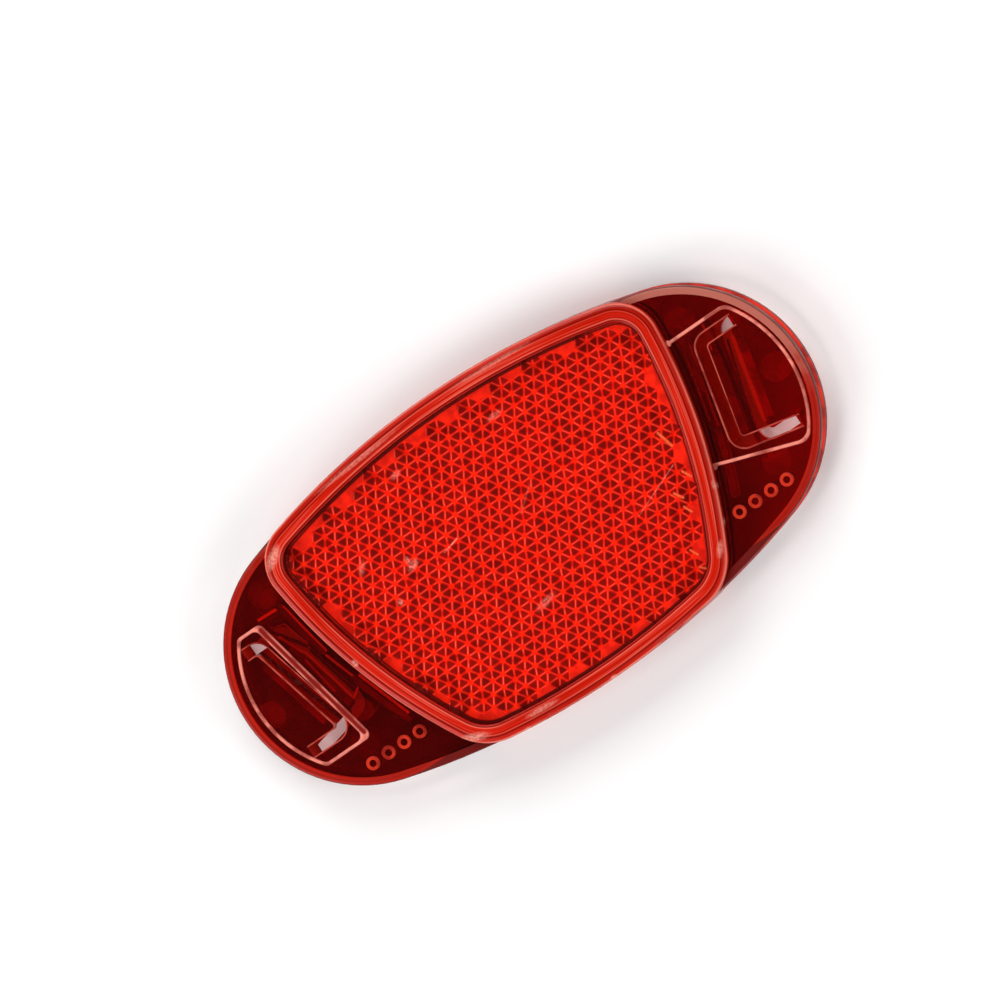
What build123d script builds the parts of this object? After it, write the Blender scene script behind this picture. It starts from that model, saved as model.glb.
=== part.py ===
"""Bicycle spoke reflector: two identical red moulded half shells, welded back to back.

Each half shell has a window with cube-corner prisms behind it, a raised bezel round the
window and two wings. Opposite wings stand apart by a little more than a spoke, and sprung
tongues in the wings hold the spoke between them.

Frame: the reflector lies on its back bezel. X runs along its length, +Y points to the wheel
rim, where the window is widest, and +Z is the front. The origin is under the middle of the
oval, at the height of the back bezel. Sizes are in millimetres.
"""

import math
import os

from build123d import *

# Overall form
overall_length = 90.0
overall_width = 45.0
total_thickness = 9.0
end_radius = 18.5
wing_inset = 0.2

# Wings
spoke_diameter = 2.0
spoke_play = 0.4
wing_thickness = 1.4
rim_height = 0.5
rim_width = 1.1
rim_round = 0.4
lead_in = 0.4

# Bezel and window
bezel_half_width = 31.6
bezel_side_radius = 77.0
bezel_side_level = 20.0
bezel_top_corner = 6.0
bezel_bottom_corner = 8.0
bezel_width = 2.5
bezel_outer_round = 0.7
bezel_inner_round = 0.25
window_depth = 0.8
chamber_wall = 1.3
seam_chamfer = 0.25

# Cube-corner prisms: hexagonal pins, their tips just clear of the joint plane
pin_pitch = 3.0
pin_clearance = 0.4
pin_base = 0.06
apex_gap = 0.15
pin_shift_x = 1.299
pin_shift_y = 1.32

# Slots that free the tongues, each level measured from the middle of the oval
spoke_angle = 13.8
slot_width = 1.5
slot_chamfer = 0.2
bevel_angle = 45.0
slot_bend_radius = 1.4
slot_top_level = 7.8
outer_slot_gap = 4.45
outer_slot_length = 2.95
outer_slot_bottom = -7.8
outer_slot_ramp = 1.1
inner_slot_gap = 1.0
inner_slot_length = 7.4
inner_slot_bottom = -6.3
inner_slot_drop = 2.0

# Lips along the free edges of the tongues
lip_height = 0.8
lip_length = 11.0
outer_lip_width = 1.3
seat_play = 0.25

# Beads that frame the clips
bead_width = 0.45
bead_height = 0.4
bead_chamfer = 0.12
wide_bead = 1.0
frame_top = 10.2
frame_corner = 0.9
frame_edge_gap = 1.9
outer_frame_bottom = -10.6
outer_frame_gap = 2.3
outer_frame_angle = 11.3
inner_frame_bottom = -6.8
inner_frame_slope = 19.0
knob_radius = 0.45

# Small moulded details
ring_count = 4
ring_spacing = 2.56
ring_first = 26.2
ring_level = -13.7
ring_outer = 0.95
ring_inner = 0.5
ring_height = 0.4
rib_width = 0.9
rib_offset = 1.7
rib_height = 0.9
rib_spans = [(2.4, 10.7), (-11.4, -3.0)]
mark_depth = 0.15
outer_marks = [(41.9, -0.8, 1.9), (33.5, 13.2, 2.0), (31.2, -7.0, 1.5)]
inner_marks = [(41.0, -0.6, 2.0), (33.8, 11.4, 2.0), (34.0, -10.9, 2.0)]

# Worked out from the sizes above
half_thickness = total_thickness / 2
wing_inner = (spoke_diameter + spoke_play) / 2
wing_outer = wing_inner + wing_thickness
window_face = half_thickness - window_depth
pin_height = pin_pitch / math.sqrt(6)
lens_inner = apex_gap + 2 * pin_height + pin_base
lean = math.radians(spoke_angle)
outer_slot_reach = bezel_half_width + outer_slot_gap
outer_slot_end = outer_slot_reach + outer_slot_length
inner_slot_reach = bezel_half_width + inner_slot_gap
inner_slot_end = inner_slot_reach + inner_slot_length
outer_frame_reach = bezel_half_width + outer_frame_gap
end_centre = overall_length / 2 - end_radius
bezel_side_centre = bezel_side_radius - bezel_half_width
slot_half = slot_width / 2 / math.cos(lean)
slot_mouth = slot_width + 2 * slot_chamfer


def side_arc_radius(half_width, radius):
    """Radius of the long side arc that runs smoothly into an end arc of the given radius."""
    return (end_centre**2 + half_width**2 - radius**2) / (2 * (half_width - radius))


def oval(inset):
    """Outline of the wings, brought in by the inset: two long arcs and two end arcs."""
    half_width = overall_width / 2 - wing_inset - inset
    radius = end_radius - inset
    side = side_arc_radius(half_width, radius)
    x = end_centre * side / (side - radius)
    y = radius * (side - half_width) / (side - radius)
    with BuildSketch() as shape:
        with BuildLine():
            ThreePointArc((-x, y), (0, half_width), (x, y))
            ThreePointArc((x, y), (end_centre + radius, 0), (x, -y))
            ThreePointArc((x, -y), (0, -half_width), (-x, -y))
            ThreePointArc((-x, -y), (-end_centre - radius, 0), (-x, y))
        make_face()
    return shape.sketch


def bezel_region(inset):
    """Outline of the bezel, brought in by the inset: two long arcs and two curved sides."""
    long_radius = side_arc_radius(overall_width / 2, end_radius)
    long_centre = long_radius - overall_width / 2
    with BuildSketch() as shape:
        with Locations((0, -long_centre)):
            Circle(long_radius - inset)
        with Locations((0, long_centre)):
            Circle(long_radius - inset, mode=Mode.INTERSECT)
        with Locations((bezel_side_centre, bezel_side_level)):
            Circle(bezel_side_radius - inset, mode=Mode.INTERSECT)
        with Locations((-bezel_side_centre, bezel_side_level)):
            Circle(bezel_side_radius - inset, mode=Mode.INTERSECT)
        fillet(shape.vertices().sort_by(Axis.Y)[-2:], bezel_top_corner - inset)
        fillet(shape.vertices().sort_by(Axis.Y)[:2], bezel_bottom_corner - inset)
    return shape.sketch


def bezel_side_x(level, offset):
    """X of the right side of the bezel at a level, moved out by the offset."""
    radius = bezel_side_radius + offset
    return math.sqrt(radius**2 - (level - bezel_side_level) ** 2) - bezel_side_centre


def run_x(reach, level):
    """X of a slot's long run at a level: the spokes come together towards the hub."""
    return reach + level * math.tan(lean)


def c_slot(reach, end, bottom, drop, width):
    """Slot in the right wing that frees a tongue whose root is on the outer side."""
    with BuildSketch() as shape:
        with BuildLine():
            FilletPolyline(
                (end, slot_top_level),
                (run_x(reach, slot_top_level), slot_top_level),
                (run_x(reach, bottom), bottom),
                (end, bottom - drop),
                radius=slot_bend_radius,
            )
        trace(line_width=width)
    return shape.sketch


def outer_frame(inset, inner_inset):
    """Closed clip frame, drawn for the right wing, with a slanted inner side."""
    slant = math.tan(math.radians(outer_frame_angle))
    top = frame_top - inset
    bottom = outer_frame_bottom + inset
    reach = outer_frame_reach + inner_inset
    far = overall_length / 2
    with BuildSketch() as shape:
        with BuildLine():
            Polyline(
                (reach + top * slant, top),
                (far, top),
                (far, bottom),
                (reach + bottom * slant, bottom),
                close=True,
            )
        make_face()
        with Locations((end_centre, 0)):
            Circle(end_radius - frame_edge_gap - inset, mode=Mode.INTERSECT)
        fillet(shape.vertices(), frame_corner)
    return shape.sketch


def inner_frame(inset):
    """Clip frame of the right wing, which runs open into the bezel."""
    slant = math.tan(math.radians(inner_frame_slope))
    top = frame_top - inset
    near = end_centre / 2
    far = overall_length / 2
    base = inner_frame_bottom + inset / math.cos(math.radians(inner_frame_slope))
    with BuildSketch() as shape:
        with BuildLine():
            Polyline(
                (near, top),
                (far, top),
                (far, base - (far - end_centre) * slant),
                (near, base - (near - end_centre) * slant),
                close=True,
            )
        make_face()
        with Locations((end_centre, 0)):
            Circle(end_radius - frame_edge_gap + bead_width - inset, mode=Mode.INTERSECT)
        fillet(shape.vertices().sort_by(Axis.X)[-2:], 2 * frame_corner)
    return shape.sketch


def pin_centres(field):
    """Centres of the whole hexagonal pins that fit inside the field."""
    column_step = pin_pitch * math.sqrt(3) / 2
    corner = pin_pitch / math.sqrt(3)
    column_count = math.ceil(bezel_half_width / column_step)
    row_count = math.ceil(overall_width / 2 / pin_pitch)
    turns = [turn * math.pi / 3 for turn in range(6)]
    face = field.faces()[0]
    centres = []
    for column in range(-column_count, column_count):
        for row in range(-row_count, row_count):
            x = pin_shift_x + column * column_step
            y = pin_shift_y + (row + (column % 2) / 2) * pin_pitch
            if all(face.is_inside((x + corner * math.cos(a), y + corner * math.sin(a), 0)) for a in turns):
                centres.append((x, y))
    return centres


def prism_block(centres, top):
    """Solid of all pins: each tip is the corner of a cube, and its top is flat.

    The three edges of a tip rise to every second corner of the hexagon, one third of the
    cube's diagonal up, and the corners between them lie two thirds up. Neighbouring pins
    share these edges, so the tips form one unbroken surface.
    """
    corner = pin_pitch / math.sqrt(3)
    faces = []
    sides = {}
    for x, y in centres:
        ring = []
        for turn in range(6):
            angle = turn * math.pi / 3
            height = apex_gap + (1 + turn % 2) * pin_height
            ring.append((x + corner * math.cos(angle), y + corner * math.sin(angle), height))
        for turn in (0, 2, 4):
            square = [(x, y, apex_gap), ring[turn], ring[turn + 1], ring[(turn + 2) % 6]]
            faces.append(Face(Wire.make_polygon(square)))
        faces.append(Face(Wire.make_polygon([(px, py, top) for px, py, _ in ring])))
        for start, stop in zip(ring, ring[1:] + ring[:1]):
            middle = (round((start[0] + stop[0]) / 2, 3), round((start[1] + stop[1]) / 2, 3))
            sides.setdefault(middle, []).append((start, stop))
    for pair in sides.values():
        if len(pair) == 1:
            start, stop = pair[0]
            wall = [start, stop, (stop[0], stop[1], top), (start[0], start[1], top)]
            faces.append(Face(Wire.make_polygon(wall)))
    return Solid(Shell(faces))


def run_plane(reach):
    """Plane across a slot's long run: its X points outwards and its Y towards the joint."""
    return Plane(
        origin=(reach, 0, wing_inner),
        x_dir=(math.cos(lean), -math.sin(lean), 0),
        z_dir=(math.sin(lean), math.cos(lean), 0),
    )


os.makedirs("parts", exist_ok=True)

# Both wings as one oval plate with a raised rim
with BuildPart() as wing_plate:
    with BuildSketch(Plane.XY.offset(wing_inner)):
        add(oval(0))
    extrude(amount=wing_thickness + rim_height)
    fillet(wing_plate.faces().sort_by(Axis.Z)[-1].edges(), rim_round)
    chamfer(wing_plate.faces().sort_by(Axis.Z)[0].edges(), lead_in)
    with BuildSketch(Plane.XY.offset(wing_outer)):
        add(oval(rim_width))
    extrude(amount=rim_height, mode=Mode.SUBTRACT)

# Bezel as a solid block, its outer edge rounded and its joint edge bevelled
with BuildPart() as bezel_block:
    with BuildSketch():
        add(bezel_region(0))
    extrude(amount=half_thickness)
    fillet(bezel_block.faces().sort_by(Axis.Z)[-1].edges(), bezel_outer_round)
    chamfer(bezel_block.faces().sort_by(Axis.Z)[0].edges(), seam_chamfer)

# Beads of the closed frame, drawn for the right wing
with BuildPart() as outer_bead:
    with BuildSketch(Plane.XY.offset(wing_outer)):
        add(outer_frame(0, 0))
        add(outer_frame(bead_width, wide_bead), mode=Mode.SUBTRACT)
    extrude(amount=bead_height)
    chamfer(outer_bead.faces().sort_by(Axis.Z)[-1].edges(), bead_chamfer)

# Bead of the open frame, with a knob at each end where it meets the bezel
top_knob = (bezel_side_x(frame_top, 0), frame_top - bead_width / 2)
bottom_knob_x = bezel_side_x(inner_frame_bottom, 0)
bottom_slope = math.tan(math.radians(inner_frame_slope))
bottom_knob = (bottom_knob_x, inner_frame_bottom - (bottom_knob_x - end_centre) * bottom_slope)
with BuildPart() as inner_bead:
    with BuildSketch(Plane.XY.offset(wing_outer)):
        add(inner_frame(0))
        add(inner_frame(bead_width), mode=Mode.SUBTRACT)
        with Locations(top_knob, bottom_knob):
            Circle(knob_radius)
        add(bezel_region(bead_width), mode=Mode.SUBTRACT)
    extrude(amount=bead_height)
    chamfer(inner_bead.faces().sort_by(Axis.Z)[-1].edges(), bead_chamfer)

# One of the small rings below the frames
with BuildPart() as ring:
    with BuildSketch(Plane.XY.offset(wing_outer)):
        Circle(ring_outer)
        Circle(ring_inner, mode=Mode.SUBTRACT)
    extrude(amount=ring_height)
    chamfer(ring.faces().sort_by(Axis.Z)[-1].outer_wire().edges(), bead_chamfer)

# Slot of the closed clip, drawn for the right wing, its two ends sloping
with BuildPart() as outer_slot:
    ramp_end = outer_slot_end + outer_slot_ramp
    with BuildSketch(Plane.XY.offset(wing_inner)):
        add(c_slot(outer_slot_reach, ramp_end, outer_slot_bottom, 0, slot_width))
    extrude(amount=wing_thickness)
    with BuildSketch(Plane.XY.offset(wing_outer)):
        add(c_slot(outer_slot_reach, ramp_end, outer_slot_bottom, 0, slot_mouth))
    extrude(amount=-slot_chamfer, taper=bevel_angle)
    with BuildSketch(Plane.XZ):
        with BuildLine():
            Polyline(
                (outer_slot_end, wing_inner),
                (ramp_end, wing_outer),
                (ramp_end, wing_inner),
                close=True,
            )
        make_face()
    extrude(amount=overall_width / 2, both=True, mode=Mode.SUBTRACT)

# Slot of the open clip
with BuildPart() as inner_slot:
    with BuildSketch(Plane.XY.offset(wing_inner)):
        add(c_slot(inner_slot_reach, inner_slot_end, inner_slot_bottom, inner_slot_drop, slot_width))
    extrude(amount=wing_thickness)
    with BuildSketch(Plane.XY.offset(wing_outer)):
        add(c_slot(inner_slot_reach, inner_slot_end, inner_slot_bottom, inner_slot_drop, slot_mouth))
    extrude(amount=-slot_chamfer, taper=bevel_angle)

# Lip of the outer tongue: a ramp that a spoke climbs from outside, steep on its inner side
with BuildPart() as outer_lip:
    with BuildSketch(run_plane(outer_slot_reach + slot_half)):
        with BuildLine():
            Polyline((0, 0), (0, lip_height), (outer_lip_width, 0), close=True)
        make_face()
    extrude(amount=lip_length / 2, both=True)

# Lip of the inner tongue: a straight stop, as wide as leaves room for the spoke
inner_lip_width = (outer_slot_reach - inner_slot_reach) * math.cos(lean) - spoke_diameter - seat_play
with BuildPart() as inner_lip:
    with BuildSketch(run_plane(inner_slot_reach + slot_half)):
        with Locations((inner_lip_width / 2, lip_height / 2)):
            Rectangle(inner_lip_width, lip_height)
    extrude(amount=lip_length / 2, both=True)

# Ribs inside a wing, beside the bezel, in two lengths with round ends
with BuildPart() as ribs:
    with BuildSketch(Plane.XY.offset(wing_inner)):
        for low, high in rib_spans:
            ends = [(bezel_side_x(level, rib_offset), level) for level in (low, (low + high) / 2, high)]
            with BuildLine():
                ThreePointArc(*ends)
            trace(line_width=rib_width)
            with Locations(ends[0], ends[2]):
                Circle(rib_width / 2)
    extrude(amount=-rib_height)

# One half shell, its joint plane at zero and its front upwards
with BuildPart() as half_shell:
    add(wing_plate.part)
    add(bezel_block.part)

    # Chamber behind the window, and the window sunk in the bezel
    with BuildSketch():
        add(bezel_region(chamber_wall))
    extrude(amount=lens_inner, mode=Mode.SUBTRACT)
    with BuildSketch(Plane.XY.offset(window_face)):
        add(bezel_region(bezel_width))
    extrude(amount=window_depth, mode=Mode.SUBTRACT)
    fillet(half_shell.faces().sort_by(Axis.Z)[-1].inner_wires()[0].edges(), bezel_inner_round)

    # Prisms
    add(prism_block(pin_centres(bezel_region(chamber_wall + pin_clearance)), lens_inner + pin_base))

    # Frames, ribs and rings
    mirror(outer_bead.part, about=Plane.YZ)
    add(inner_bead.part)
    add(ribs.part)
    mirror(ribs.part, about=Plane.YZ)
    for index in range(ring_count):
        ring_x = ring_first + index * ring_spacing
        with Locations((-ring_x, ring_level), (ring_x, ring_level)):
            add(ring.part)

    # Slots: the closed clip on the left wing, the open one on the right
    mirror(outer_slot.part, about=Plane.YZ, mode=Mode.SUBTRACT)
    add(inner_slot.part, mode=Mode.SUBTRACT)

    # Lips of the tongues
    mirror(outer_lip.part, about=Plane.YZ)
    add(inner_lip.part)

    # Shallow round marks inside the wings
    with BuildSketch(Plane.XY.offset(wing_inner)):
        for x, y, radius in outer_marks:
            with Locations((-x, y)):
                Circle(radius)
        for x, y, radius in inner_marks:
            with Locations((x, y)):
                Circle(radius)
    extrude(amount=mark_depth, mode=Mode.SUBTRACT)

# The front shell stands on the joint plane, half way up
with BuildPart() as front_shell:
    with Locations((0, 0, half_thickness)):
        add(half_shell.part)
front_shell.part.label = "front_shell"
export_step(front_shell.part, "parts/front_shell.step")

# The back shell is the same moulding, turned half round about the short axis
with BuildPart() as back_shell:
    with Locations((0, 0, half_thickness)):
        add(half_shell.part, rotation=(0, 180, 0))
back_shell.part.label = "back_shell"
export_step(back_shell.part, "parts/back_shell.step")
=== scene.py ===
"""Looks of the bicycle spoke reflector: red moulded plastic, prisms behind its windows, wear and studio.

Lengths are in millimetres unless a name says otherwise, in the part's own frame: +X along the
reflector, +Y towards the wheel rim, +Z out of the front window. The back shell is the front one
turned half round about Y, so every finish is written for the front and turned for the back.
"""

import logging
import math
from dataclasses import dataclass
from enum import Enum
from functools import reduce
from typing import Any, Union

import bmesh
import bpy
from mathutils import Matrix, Vector


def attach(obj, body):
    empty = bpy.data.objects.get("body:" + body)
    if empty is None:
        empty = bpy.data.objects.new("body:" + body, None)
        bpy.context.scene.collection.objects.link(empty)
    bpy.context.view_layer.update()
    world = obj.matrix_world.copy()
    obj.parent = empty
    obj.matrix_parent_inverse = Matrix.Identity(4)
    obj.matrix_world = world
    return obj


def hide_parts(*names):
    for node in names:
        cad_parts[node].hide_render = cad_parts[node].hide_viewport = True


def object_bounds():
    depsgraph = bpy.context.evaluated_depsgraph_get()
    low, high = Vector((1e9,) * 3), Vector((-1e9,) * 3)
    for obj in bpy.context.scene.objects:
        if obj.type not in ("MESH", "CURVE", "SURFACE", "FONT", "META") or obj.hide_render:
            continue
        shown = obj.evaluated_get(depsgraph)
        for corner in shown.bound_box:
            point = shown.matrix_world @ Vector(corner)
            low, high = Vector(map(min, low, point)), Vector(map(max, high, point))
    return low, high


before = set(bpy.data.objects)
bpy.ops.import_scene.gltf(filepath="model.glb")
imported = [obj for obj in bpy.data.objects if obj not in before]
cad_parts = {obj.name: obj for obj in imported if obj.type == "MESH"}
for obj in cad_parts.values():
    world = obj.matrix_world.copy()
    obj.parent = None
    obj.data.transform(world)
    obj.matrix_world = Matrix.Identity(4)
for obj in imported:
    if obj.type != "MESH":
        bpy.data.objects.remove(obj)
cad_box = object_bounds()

LOG = logging.getLogger("spoke_reflector")
MM = 0.001
THICKNESS = (cad_box[1][2] - cad_box[0][2]) / MM
Number = Union[int, float]


class Signal:
    """A value socket of a node tree that takes part in Python arithmetic."""

    def __init__(self, tree: "NodeTree", socket: bpy.types.NodeSocket) -> None:
        """Keeps the tree, which makes the nodes, and the output socket."""
        self.tree = tree
        self.socket = socket

    def __add__(self, other: "Operand") -> "Signal":
        """Sum."""
        return self.tree.math("ADD", self, other)

    def __radd__(self, other: "Operand") -> "Signal":
        """Sum with the number first."""
        return self.tree.math("ADD", other, self)

    def __sub__(self, other: "Operand") -> "Signal":
        """Difference."""
        return self.tree.math("SUBTRACT", self, other)

    def __rsub__(self, other: "Operand") -> "Signal":
        """Difference with the number first."""
        return self.tree.math("SUBTRACT", other, self)

    def __mul__(self, other: "Operand") -> "Signal":
        """Product."""
        return self.tree.math("MULTIPLY", self, other)

    def __rmul__(self, other: "Operand") -> "Signal":
        """Product with the number first."""
        return self.tree.math("MULTIPLY", other, self)

    def __truediv__(self, other: "Operand") -> "Signal":
        """Quotient."""
        return self.tree.math("DIVIDE", self, other)

    def __neg__(self) -> "Signal":
        """Opposite sign."""
        return self.tree.math("MULTIPLY", self, -1.0)

    def __abs__(self) -> "Signal":
        """Size without sign."""
        return self.tree.math("ABSOLUTE", self)

    def __gt__(self, other: "Operand") -> "Signal":
        """1 where it is greater, else 0."""
        return self.tree.math("GREATER_THAN", self, other)

    def root(self) -> "Signal":
        """Square root."""
        return self.tree.math("SQRT", self)

    def cosine(self) -> "Signal":
        """Cosine of an angle in radians."""
        return self.tree.math("COSINE", self)

    def whole(self) -> "Signal":
        """Nearest whole number."""
        return self.tree.math("ROUND", self)

    def floor(self) -> "Signal":
        """Whole number below."""
        return self.tree.math("FLOOR", self)

    def least(self, other: "Operand") -> "Signal":
        """The smaller of two values."""
        return self.tree.math("MINIMUM", self, other)

    def most(self, other: "Operand") -> "Signal":
        """The larger of two values."""
        return self.tree.math("MAXIMUM", self, other)

    def ramp(self, start: float, stop: float) -> "Signal":
        """Smooth step from 0 at start to 1 at stop, which may be the smaller of the two.

        Args:
            start: Value at which the step begins.
            stop: Value at which it ends.

        Returns:
            The stepped signal, from 0 to 1.
        """
        settings = {"interpolation_type": "SMOOTHSTEP", "clamp": True}
        values = {"Value": self, "From Min": start, "From Max": stop, "To Min": 0.0, "To Max": 1.0}
        return self.tree.value("ShaderNodeMapRange", settings, values, "Result")

    def band(self, middle: float, reach: float) -> "Signal":
        """1 at the middle value, fading to 0 at its reach on both sides."""
        return abs(self - middle).ramp(reach, 0.0)


Operand = Union[Signal, Number]


def root(value: Operand) -> Operand:
    """Square root of a signal or a number."""
    return value.root() if isinstance(value, Signal) else math.sqrt(value)


def least(first: Operand, second: Operand) -> Operand:
    """The smaller of two values, where only the first may be a signal."""
    return first.least(second) if isinstance(first, Signal) else min(first, second)


class NodeTree:
    """A node tree that is filled by method calls."""

    def __init__(self, tree: bpy.types.NodeTree) -> None:
        """Keeps the tree."""
        self.tree = tree

    def node(self, kind: str, settings: dict[str, Any], values: dict[Any, Any]) -> bpy.types.Node:
        """Makes one node.

        Args:
            kind: The node's type.
            settings: Its properties, set first.
            values: What goes into its sockets, each a number, a tuple, a Signal or an output socket.

        Returns:
            The node.
        """
        made = self.tree.nodes.new(kind)
        for name, value in settings.items():
            setattr(made, name, value)
        for name, value in values.items():
            self.feed(self.pick(made.inputs, name), value)
        return made

    def pick(self, sockets: Any, key: Union[int, str]) -> bpy.types.NodeSocket:
        """Finds a socket.

        Args:
            sockets: A node's inputs or outputs.
            key: The socket's name among those in use, or its number.

        Returns:
            The socket.
        """
        if isinstance(key, int):
            return sockets[key]
        return next(s for s in sockets if s.enabled and s.name == key)

    def feed(self, socket: bpy.types.NodeSocket, value: Any) -> None:
        """Links or sets one input socket.

        Args:
            socket: The input.
            value: A number, a tuple, a Colour, a Signal or an output socket.
        """
        if isinstance(value, Signal):
            value = value.socket
        if isinstance(value, bpy.types.NodeSocket):
            self.tree.links.new(value, socket)
        else:
            socket.default_value = value.rgba() if isinstance(value, Colour) else value

    def result(self, kind: str, settings: dict[str, Any], values: dict[Any, Any], name: Any) -> Any:
        """One output socket of a new node."""
        return self.pick(self.node(kind, settings, values).outputs, name)

    def value(self, kind: str, settings: dict[str, Any], values: dict[Any, Any], name: Any) -> Signal:
        """One output of a new node, as a signal."""
        return Signal(self, self.result(kind, settings, values, name))

    def math(self, operation: str, *operands: Operand) -> Signal:
        """One Math node on signals and numbers."""
        return self.value("ShaderNodeMath", {"operation": operation}, dict(enumerate(operands)), 0)

    def split(self, vector: bpy.types.NodeSocket) -> tuple[Signal, Signal, Signal]:
        """The three parts of a vector in metres, in millimetres."""
        parts = self.node("ShaderNodeSeparateXYZ", {}, {0: vector})
        return tuple(Signal(self, parts.outputs[i]) / MM for i in range(3))

    def point(self, x: Operand, y: Operand, z: Operand) -> bpy.types.NodeSocket:
        """A vector from its three parts."""
        return self.result("ShaderNodeCombineXYZ", {}, {0: x, 1: y, 2: z}, 0)


@dataclass(frozen=True)
class Colour:
    """A linear colour."""

    red: float
    green: float
    blue: float

    def rgba(self) -> tuple[float, float, float, float]:
        """The colour as a socket takes it."""
        return (self.red, self.green, self.blue, 1.0)


# Share of a lamp's light that passes one clear wall
PASSING = Colour(0.995, 0.98, 0.978)
# Weaker bending than the plastic's own, so that what lies behind a wall stays near its place
CLEAR_IOR = 1.35


class ShaderTree(NodeTree):
    """The node tree of one material or world."""

    def __init__(self, owner: Union[bpy.types.Material, bpy.types.World], turned: bool = False) -> None:
        """Empties the owner's tree.

        Args:
            owner: The material or world that the tree belongs to.
            turned: True where the finish is on the back shell.
        """
        owner.use_nodes = True
        super().__init__(owner.node_tree)
        self.tree.nodes.clear()
        self.turned = turned

    def place(self) -> tuple[Signal, Signal, Signal]:
        """Object coordinates, turned to the front for the back shell."""
        x, y, z = self.split(self.result("ShaderNodeTexCoord", {}, {}, "Object"))
        return (-x, y, THICKNESS - z) if self.turned else (x, y, z)

    def noise(self, vector: bpy.types.NodeSocket, scale: float, detail: float) -> Signal:
        """Noise at a place.

        Args:
            vector: The place.
            scale: Waves to the unit of length of the vector.
            detail: Octaves.

        Returns:
            The noise value, mostly from 0.3 to 0.7.
        """
        values = {"Vector": vector, "Scale": scale, "Detail": detail}
        return self.value("ShaderNodeTexNoise", {}, values, 0)

    def blend(self, share: Operand, first: Any, second: Any) -> bpy.types.NodeSocket:
        """Mixes two colours by a share of the second.

        Args:
            share: How much of the second colour there is, from 0 to 1.
            first: Colour at share 0, as a Colour or a socket.
            second: Colour at share 1.

        Returns:
            The colour socket.
        """
        values = {"Factor": share, "A": first, "B": second}
        return self.result("ShaderNodeMix", {"data_type": "RGBA"}, values, "Result")

    def shader_mix(self, share: Operand, first: Any, second: Any) -> bpy.types.NodeSocket:
        """Mixes two shaders by a share of the second."""
        return self.result("ShaderNodeMixShader", {}, {0: share, 1: first, 2: second}, 0)

    def solid(
        self, colour: Any, roughness: Operand, gloss: float, normal: Any = None
    ) -> bpy.types.NodeSocket:
        """Shader of opaque plastic.

        Args:
            colour: A Colour or a colour socket.
            roughness: Roughness, from 0 to 1.
            gloss: Strength of its reflection, 0.5 for usual plastic.
            normal: Normal socket of a bump, where there is one.

        Returns:
            The shader socket.
        """
        values = {"Base Color": colour, "Roughness": roughness, "Specular IOR Level": gloss}
        if normal is not None:
            values["Normal"] = normal
        return self.result("ShaderNodeBsdfPrincipled", {}, values, 0)

    def clear(self, tint: Any, roughness: Operand) -> bpy.types.NodeSocket:
        """Shader of clear plastic that lets the lamps through.

        Args:
            tint: Colour of what is seen through one wall, as a Colour or a socket.
            roughness: Roughness of its surface.

        Returns:
            The shader socket.
        """
        values = {"Base Color": tint, "Roughness": roughness, "IOR": CLEAR_IOR, "Transmission Weight": 1.0}
        glass = self.result("ShaderNodeBsdfPrincipled", {}, values, 0)
        open_way = self.result("ShaderNodeBsdfTransparent", {}, {"Color": PASSING}, 0)
        shadow = self.result("ShaderNodeLightPath", {}, {}, "Is Shadow Ray")
        return self.shader_mix(shadow, glass, open_way)

    def bump(self, height: Signal, distance: float) -> bpy.types.NodeSocket:
        """Normal of a fine relief.

        Args:
            height: Height, from 0 to 1.
            distance: Height of a 1, in millimetres.

        Returns:
            The normal socket.
        """
        values = {"Height": height, "Distance": distance * MM, "Strength": 1.0}
        return self.result("ShaderNodeBump", {}, values, "Normal")

    def finish(self, surface: bpy.types.NodeSocket) -> None:
        """Links the surface to the output."""
        self.node("ShaderNodeOutputMaterial", {}, {"Surface": surface})


class GeometryTree(NodeTree):
    """The node tree of a Geometry Nodes modifier."""

    def shape(self, kind: str, settings: dict[str, Any], values: dict[Any, Any]) -> bpy.types.NodeSocket:
        """The geometry that a new node gives."""
        return self.result(kind, settings, values, "Geometry")

    def here(self) -> tuple[Signal, Signal, Signal]:
        """Position of every point, in millimetres."""
        return self.split(self.result("GeometryNodeInputPosition", {}, {}, "Position"))

    def moved(self, mesh: Any, place: Any, chosen: Any = True) -> bpy.types.NodeSocket:
        """The mesh with its chosen points put at a place, in metres."""
        values = {"Geometry": mesh, "Selection": chosen, "Position": place}
        return self.shape("GeometryNodeSetPosition", {}, values)

    def stored(self, mesh: Any, kind: str, domain: str, name: str, value: Any) -> bpy.types.NodeSocket:
        """Keeps a value on the mesh.

        Args:
            mesh: The mesh.
            kind: The value's data type.
            domain: What holds it, such as each corner.
            name: The attribute's name.
            value: The value.

        Returns:
            The mesh.
        """
        settings = {"data_type": kind, "domain": domain}
        values = {"Geometry": mesh, "Name": name, "Value": value}
        return self.shape("GeometryNodeStoreNamedAttribute", settings, values)

    def chance(self, seed: Signal, key: Signal) -> Signal:
        """A random number from 0 to 1 for each value of a key."""
        values = {"Min": 0.0, "Max": 1.0, "Seed": seed, "ID": key}
        return self.value("FunctionNodeRandomValue", {"data_type": "FLOAT"}, values, "Value")


def placed(name: str, data: Any) -> bpy.types.Object:
    """Makes an object and puts it in the scene.

    Args:
        name: Its name.
        data: Its mesh, lamp or camera.

    Returns:
        The object.
    """
    made = bpy.data.objects.new(name, data)
    bpy.context.scene.collection.objects.link(made)
    return made


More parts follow.
